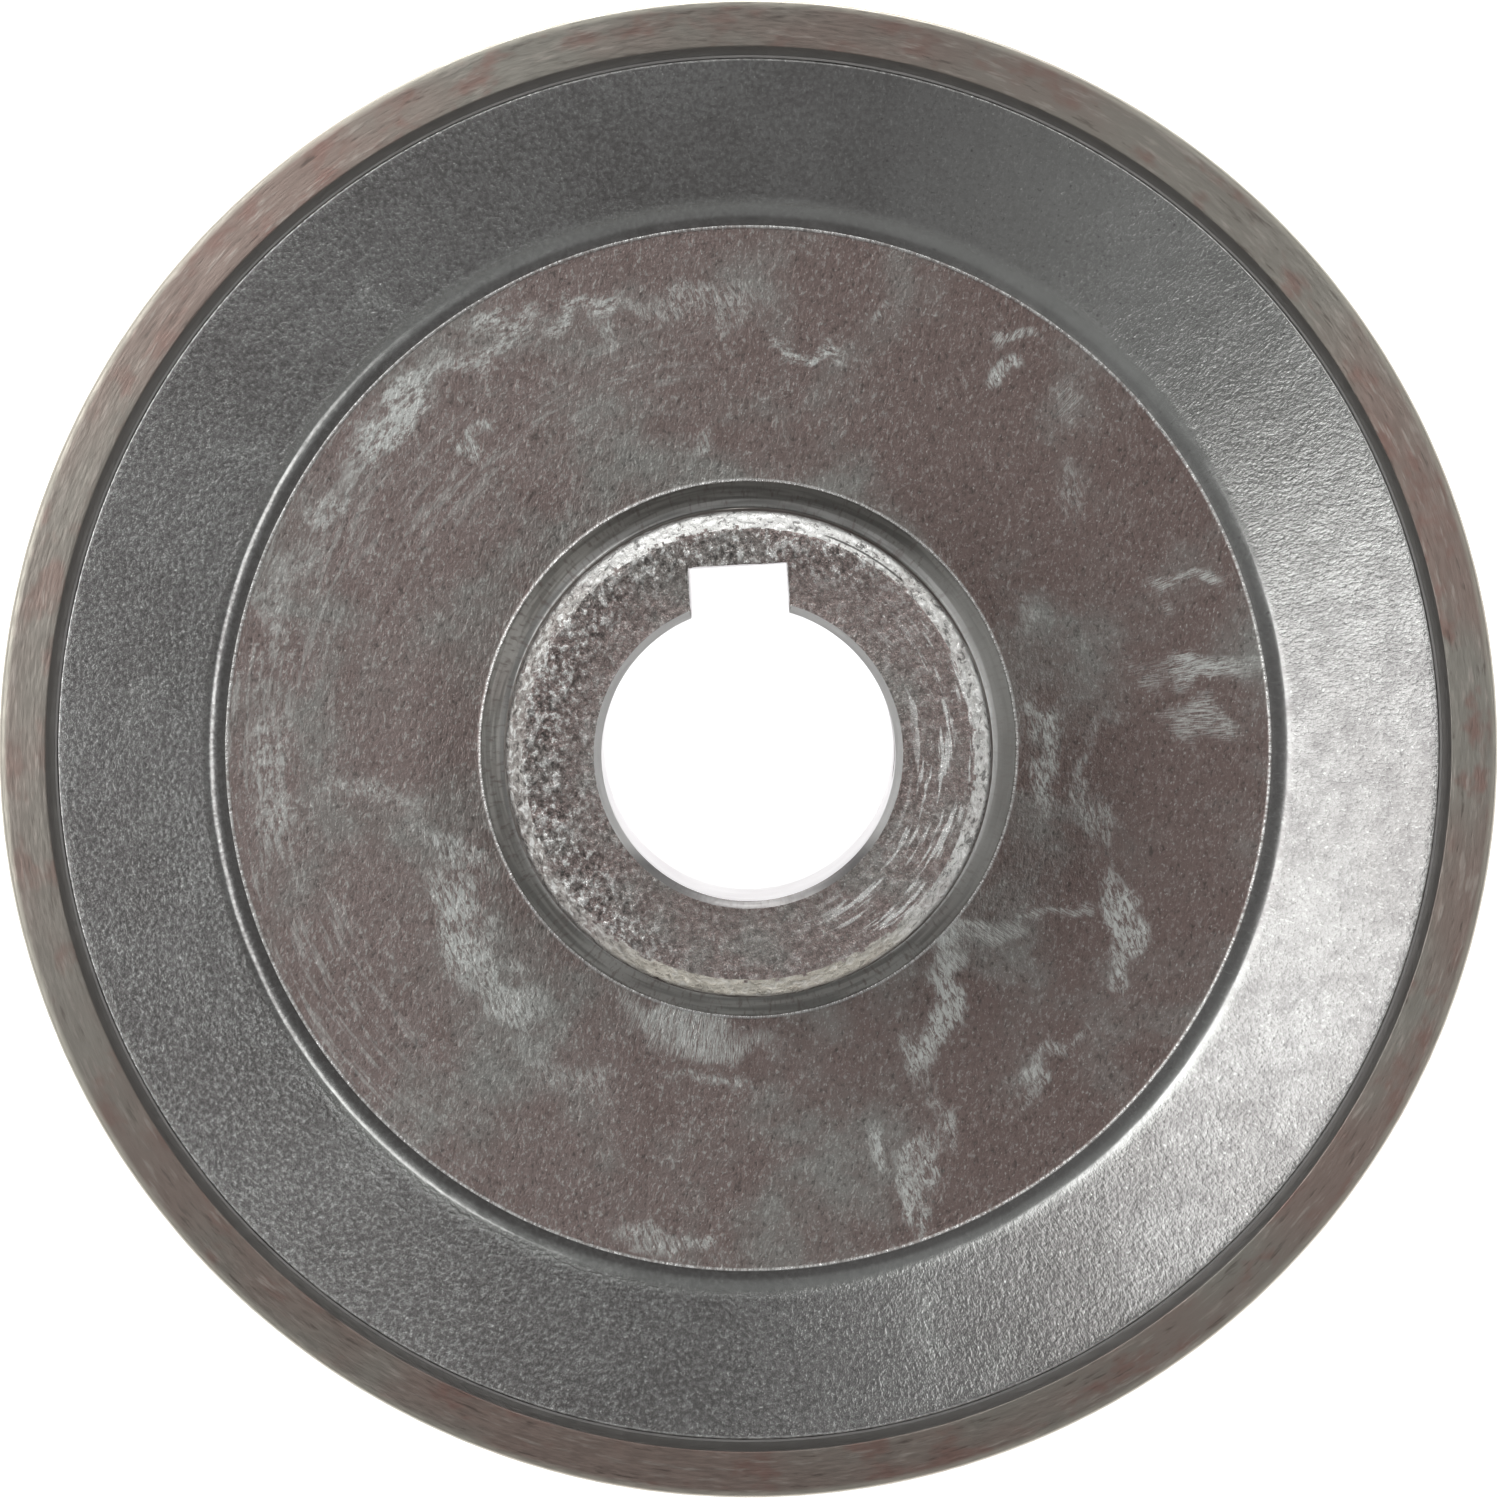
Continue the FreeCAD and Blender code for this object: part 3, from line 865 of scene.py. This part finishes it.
def nose_material():
    """Crinkled, rubbed metal on the bevel of the hub's nose, dark along its outer edge. Painted
    highlights lie on its crinkles and towards +Y and +X; painted shade lies between the crinkles, along
    a fold and towards -X.
    """
    f = Finish("hub_nose_steel")
    rings = f.noise(f.ring_space(12, 1700, falls_outward=True), 1.0, 3, 0.6)
    fleck = f.noise(f.ring_space(26, 1300, falls_outward=True), 1.0, 4, 0.7, 0.5)
    cloud = f.noise(f.place, 420, 3, 0.5)
    base = f.mix(f.step(rings, 0.35, 0.65), (0.40, 0.39, 0.37, 1), (0.70, 0.69, 0.66, 1))
    base = f.mix(f.step(cloud, 0.50, 0.64, 0.0, 0.5), base, MAUVE)
    # Painted shade towards -X, cream towards -Y, and painted highlights towards +Y and +X.
    base = f.mix(f.step(f.x, -0.004, -0.016, 0.0, 0.35), base, DARK_MAUVE)
    base = f.mix(f.step(f.y, -0.013, -0.018, 0.0, 0.6), base, (0.62, 0.57, 0.47, 1))
    base = f.mix(f.step(f.y, 0.012, 0.018, 0.0, 0.8), base, BRIGHT)
    base = f.mix(f.step(f.x, 0.010, 0.017, 0.0, 0.35), base, BRIGHT)
    # Painted highlights on the crinkles and painted shade between them, weaker towards -Y.
    crumpled = f.step(f.y, -0.016, -0.010, 0.35, 1.0)
    base = f.mix(f.math("MULTIPLY", f.step(fleck, 0.50, 0.64), crumpled), base, BRIGHT)
    base = f.mix(f.math("MULTIPLY", f.step(fleck, 0.46, 0.36, 0.0, 0.7), crumpled), base, DARK)
    rim = f.step(f.radius, BARREL_R - 0.5 * MM, BARREL_R - 0.2 * MM, 0.0, 0.75)
    base = f.mix(rim, base, DARK)
    # Painted shade along a fold in the nose's metal.
    crease_shade = f.math("MULTIPLY", f.near(f.radius, 18.9 * MM, 0.14 * MM), f.toward(56, 0.975, 0.985))
    base = f.mix(crease_shade, base, DARK)
    rough = f.step(fleck, 0.3, 0.7, 0.24, 0.36)
    normal = f.bump(rings, 0.05 * MM, 0.5)
    normal = f.bump(f.math("MULTIPLY", fleck, crumpled), 0.50 * MM, 0.85, normal)
    return f.metal(base, rough, normal)


def barrel_material():
    """Turned steel of the hub's barrel and back, dull, with painted shade on the keyway's side."""
    f = Finish("hub_turned_steel")
    rings = f.noise(f.ring_space(9, 3200), 1.0, 3, 0.6)
    cloud = f.noise(f.place, 260, 4, 0.6)
    base = f.mix(f.step(rings, 0.35, 0.65), (0.40, 0.39, 0.37, 1), (0.56, 0.55, 0.53, 1))
    base = f.mix(f.step(cloud, 0.50, 0.70, 0.0, 0.5), base, MAUVE)
    # Painted shade, not a stain: darker on the keyway's side above the plate.
    stain = f.math("MULTIPLY", f.step(f.y, 0.006, 0.016), f.step(f.z, MID_Z, PLATE_TOP))
    base = f.mix(f.math("MULTIPLY", stain, 0.75), base, (0.10, 0.09, 0.08, 1))
    rough = f.step(rings, 0.3, 0.7, 0.28, 0.40)
    normal = f.bump(rings, 0.04 * MM, 0.5)
    return f.metal(base, rough, f.bump(cloud, 0.04 * MM, 0.3, normal))


def hub_face_material():
    """Rough face of the hub: mauve, torn metal on the left and top with painted highlights and painted
    shade in its folds, tool arcs on the right.
    """
    f = Finish("hub_face_steel")
    torn = f.noise(f.stretched(1.0, 1.4, 1.0, 0.1), 2000, 4, 0.7)
    patches = f.noise(f.stretched(1.0, 1.7, 1.0, -0.3), 950, 4, 0.65)
    fine = f.noise(f.place, 4200, 2, 0.6)
    cloud = f.noise(f.place, 230, 3, 0.55)
    rough_side = f.step(f.x, -0.004, -0.014)
    upper = f.step(f.y, 0.011, 0.017)
    tearing = f.math("MAXIMUM", rough_side, upper)
    tearing = f.math("MULTIPLY", tearing, f.step(f.radius, 0.0140, 0.0170, 0.35, 1.0))
    base = f.mix(f.step(cloud, 0.45, 0.68, 0.0, 0.6), MAUVE, GREEN_GREY)
    # Painted shade in the folds of the torn metal.
    torn_crease_shade = f.math("MULTIPLY", f.step(torn, 0.48, 0.38), f.step(tearing, 0.0, 1.0, 0.4, 0.8))
    base = f.mix(torn_crease_shade, base, DARK)
    base = f.mix(f.step(fine, 0.60, 0.72, 0.0, 0.6), base, BRIGHT)
    # Painted highlights on the torn metal, in small flecks and in larger patches.
    flecks = f.math("MULTIPLY", f.step(torn, 0.52, 0.62), f.step(tearing, 0.0, 1.0, 0.22, 1.0))
    colour = f.mix(flecks, base, BRIGHT)
    torn_patch_highlights = f.math("MULTIPLY", f.step(patches, 0.53, 0.68, 0.0, 0.7), tearing)
    colour = f.mix(torn_patch_highlights, colour, BRIGHT)
    arcs = f.noise(f.ring_space(3.5, 2100), 1.0, 3, 0.6)
    on_right = f.math("MULTIPLY", f.toward(-18, 0.45, 0.80), f.step(f.radius, 0.0130, 0.0145))
    lines = f.math("MULTIPLY", f.step(arcs, 0.53, 0.61), on_right)
    colour = f.mix(f.math("MULTIPLY", lines, 0.85), colour, BRIGHT)
    rough = f.step(fine, 0.3, 0.7, 0.22, 0.36)
    normal = f.bump(f.math("MULTIPLY", patches, f.step(tearing, 0.0, 1.0, 0.3, 1.0)), 1.5 * MM, 0.8)
    normal = f.bump(torn, 0.40 * MM, 1.0, normal)
    normal = f.bump(arcs, 0.10 * MM, 0.5, normal)
    normal = f.bump(fine, 0.06 * MM, 0.5, normal)
    return f.metal(colour, rough, normal)


def collar_material():
    """Smooth staked collar and bore chamfer, with painted shade on the keyway's side and the left and
    painted highlights on the right and on the chamfer.
    """
    f = Finish("collar_steel")
    rings = f.noise(f.ring_space(3.0, 1700), 1.0, 2, 0.5)
    streaks = f.noise(f.ring_space(60, 900), 1.0, 3, 0.6)
    base = f.mix(f.step(rings, 0.38, 0.62), (0.50, 0.50, 0.485, 1), (0.80, 0.80, 0.78, 1))
    base = f.mix(f.step(streaks, 0.5, 0.7, 0.0, 0.6), base, MAUVE)
    mouth = f.math("MULTIPLY", f.step(f.radius, BARREL_R - MM, BORE_R + MM), f.step(f.y, 0.0, -0.01))
    colour = f.mix(f.math("MULTIPLY", mouth, 0.8), base, (0.22, 0.21, 0.21, 1))
    # Painted shade towards +Y and -X, and a painted highlight towards +X.
    colour = f.mix(f.step(f.y, 0.013, 0.020, 0.0, 0.45), colour, DARK)
    colour = f.mix(f.step(f.x, -0.013, -0.020, 0.0, 0.35), colour, DARK)
    colour = f.mix(f.step(f.x, 0.013, 0.020, 0.0, 0.7), colour, BRIGHT)
    # Painted highlight on the bore's chamfer, except towards -Y.
    chamfer = f.math("MULTIPLY", f.step(f.radius, 0.0150, 0.0135), f.step(f.y, -0.009, -0.006))
    colour = f.mix(chamfer, colour, BRIGHT)
    rough = f.step(streaks, 0.3, 0.7, 0.36, 0.46)
    normal = f.bump(rings, 0.06 * MM, 0.5)
    normal = f.bump(streaks, 0.04 * MM, 0.4, normal)
    return f.metal(colour, rough, normal)


def bore_material():
    """Ground wall of the bore and the keyway, faintly pink."""
    f = Finish("bore_steel")
    rings = f.noise(f.ring_space(6.0, 1600), 1.0, 2, 0.5)
    stain = f.noise(f.place, 180, 3, 0.5)
    base = f.mix(f.step(rings, 0.35, 0.65), (0.60, 0.575, 0.585, 1), (0.68, 0.65, 0.665, 1))
    colour = f.mix(f.step(stain, 0.55, 0.75, 0.0, 0.5), base, (0.62, 0.54, 0.57, 1))
    rough = f.step(stain, 0.3, 0.7, 0.16, 0.26)
    return f.metal(colour, rough, f.bump(rings, 0.02 * MM, 0.3))


def screw_material():
    """Black oxide of the grub screws."""
    f = Finish("screw_black_oxide")
    cloud = f.noise(f.place, 900, 4, 0.6)
    colour = f.mix(f.step(cloud, 0.4, 0.7), (0.05, 0.05, 0.055, 1), (0.12, 0.115, 0.11, 1))
    rough = f.step(cloud, 0.3, 0.7, 0.35, 0.5)
    return f.metal(colour, rough, f.bump(cloud, 0.02 * MM, 0.5), metallic=0.8)


# ---------------------------------------------------------------- studio


def make_floor():
    """Plain pale floor under the wheel."""
    mesh = bpy.data.meshes.new("floor")
    reach = 4.0
    mesh.from_pydata(
        [(-reach, -reach, 0), (reach, -reach, 0), (reach, reach, 0), (-reach, reach, 0)],
        [], [(0, 1, 2, 3)],
    )
    material = bpy.data.materials.new("floor_paper")
    material.use_nodes = True
    paper = material.node_tree.nodes["Principled BSDF"]
    paper.inputs["Base Color"].default_value = (0.9, 0.9, 0.9, 1)
    paper.inputs["Roughness"].default_value = 0.9
    paper.inputs["Specular IOR Level"].default_value = 0.0
    paper.inputs["Emission Color"].default_value = (1, 1, 1, 1)
    paper.inputs["Emission Strength"].default_value = 0.95
    mesh.materials.append(material)
    floor = bpy.data.objects.new("floor", mesh)
    bpy.context.scene.collection.objects.link(floor)


def facing(place, backward):
    """Matrix that looks along minus backward from a place, the keyway's side up."""
    back = backward.normalized()
    right = Vector((0, 1, 0)).cross(back).normalized()
    turn = Matrix((right, back.cross(right), back)).transposed().to_4x4()
    return Matrix.Translation(place) @ turn


def add_softbox(name, azimuth, polar, distance, width, height, power):
    """Rectangular soft light that faces the wheel."""
    data = bpy.data.lights.new(name, "AREA")
    data.shape = "RECTANGLE"
    data.size = width
    data.size_y = height
    data.energy = power
    light = bpy.data.objects.new(name, data)
    a, p = math.radians(azimuth), math.radians(polar)
    direction = Vector((math.cos(a) * math.sin(p), math.sin(a) * math.sin(p), math.cos(p)))
    light.matrix_world = Matrix.Rotation(-LEAN, 4, "Z") @ facing(direction * distance, direction)
    light.visible_camera = False
    bpy.context.scene.collection.objects.link(light)


def make_world():
    """Light tent: pale round the sides and dark overhead, where the camera looks in."""
    world = bpy.data.worlds.new("tent")
    world.use_nodes = True
    tree = world.node_tree
    background = tree.nodes["Background"]
    place = tree.nodes.new("ShaderNodeTexCoord")
    split = tree.nodes.new("ShaderNodeSeparateXYZ")
    tree.links.new(place.outputs["Generated"], split.inputs[0])
    fade = tree.nodes.new("ShaderNodeMapRange")
    fade.interpolation_type = "SMOOTHSTEP"
    fade.inputs["From Min"].default_value = 0.15
    fade.inputs["From Max"].default_value = 0.80
    fade.inputs["To Min"].default_value = 0.62
    fade.inputs["To Max"].default_value = 0.22
    tree.links.new(split.outputs[2], fade.inputs["Value"])
    tree.links.new(fade.outputs[0], background.inputs["Strength"])
    background.inputs["Color"].default_value = (1, 1, 1, 1)
    bpy.context.scene.world = world


def make_camera():
    """Camera high above the nose, a little towards the keyway's side, looking at the rim."""
    data = bpy.data.cameras.new("camera")
    data.lens = LENS
    data.sensor_width = 36.0
    data.clip_end = 20.0
    camera = bpy.data.objects.new("camera", data)
    place = Vector((0.0, CAMERA_OFFSET, HUB_TOP + CAMERA_RISE))
    aim = Vector((AIM_OFFSET, 0.0, RIM_TOP))
    camera.matrix_world = Matrix.Rotation(-LEAN, 4, "Z") @ facing(place, place - aim)
    bpy.context.scene.collection.objects.link(camera)
    bpy.context.scene.camera = camera


# ---------------------------------------------------------------- scene


def make_wheel():
    """Every steel piece of the wheel's body."""
    plate = plate_material("front_plate_steel")
    rear_plate = plate_material("rear_plate_steel", REAR_TURN)
    dish = dish_material("front_dish_steel")
    rear_dish = dish_material("rear_dish_steel", REAR_TURN)
    flat, pressed = plate_section(), dish_section()
    rear_flat, rear_pressed = mirrored_heights(flat), mirrored_heights(pressed)
    make_ring("front_web_plate", flat, PLATE_SPACING, plate, PLATE_RUBS)
    make_ring("rear_web_plate", rear_flat, PLATE_SPACING, rear_plate, PLATE_RUBS,
              REAR_TURN)
    make_ring("front_dish", pressed, DISH_SPACING, dish, DISH_RUBS)
    make_ring("rear_dish", rear_pressed, DISH_SPACING, rear_dish, DISH_RUBS, REAR_TURN)
    make_ring("rim_ring", rim_section(), DISH_SPACING, rim_material())
    make_hub([nose_material(), hub_face_material(), collar_material(), bore_material(),
              barrel_material()])


make_wheel()
oxide = screw_material()
for screw in SCREWS:
    make_screw(screw, oxide)
make_floor()
make_world()
add_softbox("key_light", azimuth=154, polar=37, distance=1.3, width=0.5, height=1.25, power=4.35)
add_softbox("right_light", azimuth=20, polar=19, distance=1.3, width=0.16, height=1.0, power=1.0)
add_softbox("top_light", azimuth=95, polar=80, distance=1.2, width=1.0, height=0.4, power=6.0)
make_camera()
bpy.context.scene.view_settings.view_transform = "Standard"
